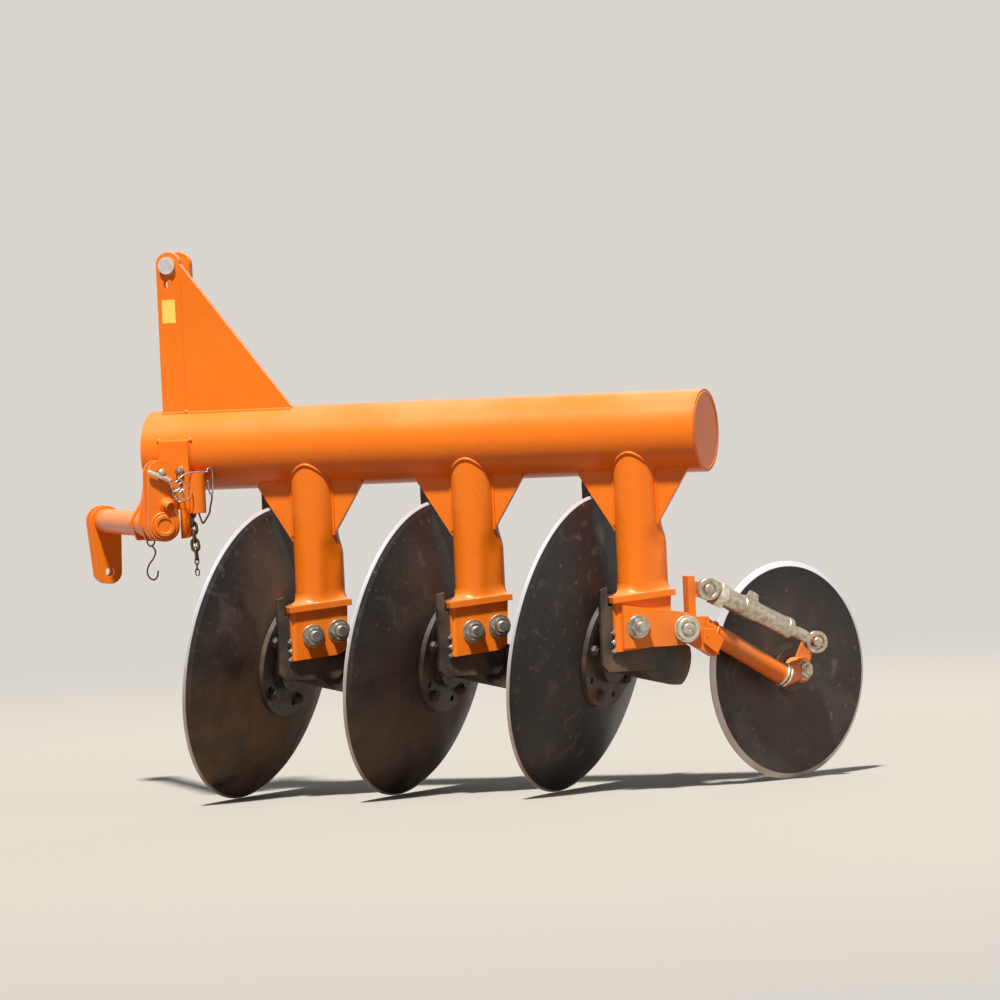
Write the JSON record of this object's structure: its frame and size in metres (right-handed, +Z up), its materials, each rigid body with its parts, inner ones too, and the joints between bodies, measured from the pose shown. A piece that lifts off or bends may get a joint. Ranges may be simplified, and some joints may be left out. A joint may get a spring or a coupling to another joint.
{
  "type": "disc plough",
  "caption": "Mounted plough with dished discs under a slanting round beam, a mast and cross shaft in front and a furrow wheel on a swinging arm behind.",
  "frame": {"origin": "bottom centre of the bounding box, on the floor under the discs", "axes": "+X is the way the plough is drawn, +Y its left, +Z up"},
  "size_m": [1.6609, 1.4505, 1.3142],
  "materials": {
    "orange_paint": "semi-gloss orange paint, dusty",
    "disc_steel": "dark varnished steel, dusty, with a bright ground edge",
    "cast_black": "black painted casting, dusty",
    "zinc": "zinc-plated steel",
    "worn_zinc": "dull zinc-plated tube"
  },
  "bodies": {
    "frame": {"beam_cap_front": "orange_paint", "beam_cap_rear": "orange_paint", "beam_tube": "orange_paint", "cross_shaft": "orange_paint", "foot_1": "orange_paint", "foot_2": "orange_paint", "foot_3": "orange_paint", "gusset_front_1": "orange_paint", "gusset_front_2": "orange_paint", "gusset_front_3": "orange_paint", "gusset_rear_1": "orange_paint", "gusset_rear_2": "orange_paint", "gusset_rear_3": "orange_paint", "hanger_left": "orange_paint", "hanger_right": "orange_paint", "hitch_plate": "orange_paint", "hub_bracket_1": "cast_black", "hub_bracket_2": "cast_black", "hub_bracket_3": "cast_black", "leg_1": "orange_paint", "leg_2": "orange_paint", "leg_3": "orange_paint", "mast_plate": "orange_paint", "mast_strap": "orange_paint", "pin_sleeve": "orange_paint", "pivot_pin": "zinc", "scraper_1": "cast_black", "scraper_2": "cast_black", "scraper_3": "cast_black", "top_pin": "zinc", "wheel_carrier": "orange_paint"},
    "disc_unit_1": {"disc_1": "disc_steel", "hub_1": "cast_black", "hub_cap_1": "cast_black"},
    "disc_unit_2": {"disc_2": "disc_steel", "hub_2": "cast_black", "hub_cap_2": "cast_black"},
    "disc_unit_3": {"disc_3": "disc_steel", "hub_3": "cast_black", "hub_cap_3": "cast_black"},
    "wheel_arm_unit": {"wheel_arm": "orange_paint"},
    "furrow_wheel_unit": {"furrow_wheel": "disc_steel", "wheel_hub": "cast_black"},
    "link_sleeve_unit": {"link_sleeve": "worn_zinc"},
    "link_rod_unit": {"link_rod": "zinc"}
  },
  "joints": [
    {"name": "disc_1_spin", "type": "hinge", "parent": "frame", "child": "disc_unit_1", "pos_m": [0.5686, -0.02284, 0.3486], "axis": [-0.7276, 0.6574, -0.1959], "continuous": true},
    {"name": "disc_2_spin", "type": "hinge", "parent": "frame", "child": "disc_unit_2", "pos_m": [0.23684, 0.20945, 0.3486], "axis": [-0.7276, 0.6574, -0.1959], "continuous": true},
    {"name": "disc_3_spin", "type": "hinge", "parent": "frame", "child": "disc_unit_3", "pos_m": [-0.09492, 0.44175, 0.3486], "axis": [-0.7276, 0.6574, -0.1959], "continuous": true},
    {"name": "wheel_arm_swing", "type": "hinge", "parent": "frame", "child": "wheel_arm_unit", "pos_m": [-0.30151, 0.62485, 0.378], "axis": [-0.0349, 0.9994, 0], "range_deg": [-6, 10]},
    {"name": "furrow_wheel_spin", "type": "hinge", "parent": "wheel_arm_unit", "child": "furrow_wheel_unit", "pos_m": [-0.60409, 0.46419, 0.258], "axis": [-0.4695, 0.8829, 0], "continuous": true},
    {"name": "link_swing", "type": "hinge", "parent": "frame", "child": "link_sleeve_unit", "pos_m": [-0.35659, 0.65495, 0.468], "axis": [-0.0349, 0.9994, 0], "range_deg": [-8, 12]},
    {"name": "link_slide", "type": "slide", "parent": "link_sleeve_unit", "child": "link_rod_unit", "axis": [-0.8428, -0.3486, -0.4101], "range_m": [-0.024, 0.015]}
  ],
  "couplings": [
    {"joint": "link_swing", "follows": "wheel_arm_swing", "ratio": 1.0293},
    {"joint": "link_slide", "follows": "wheel_arm_swing", "m_per_rad": -0.11026}
  ]
}
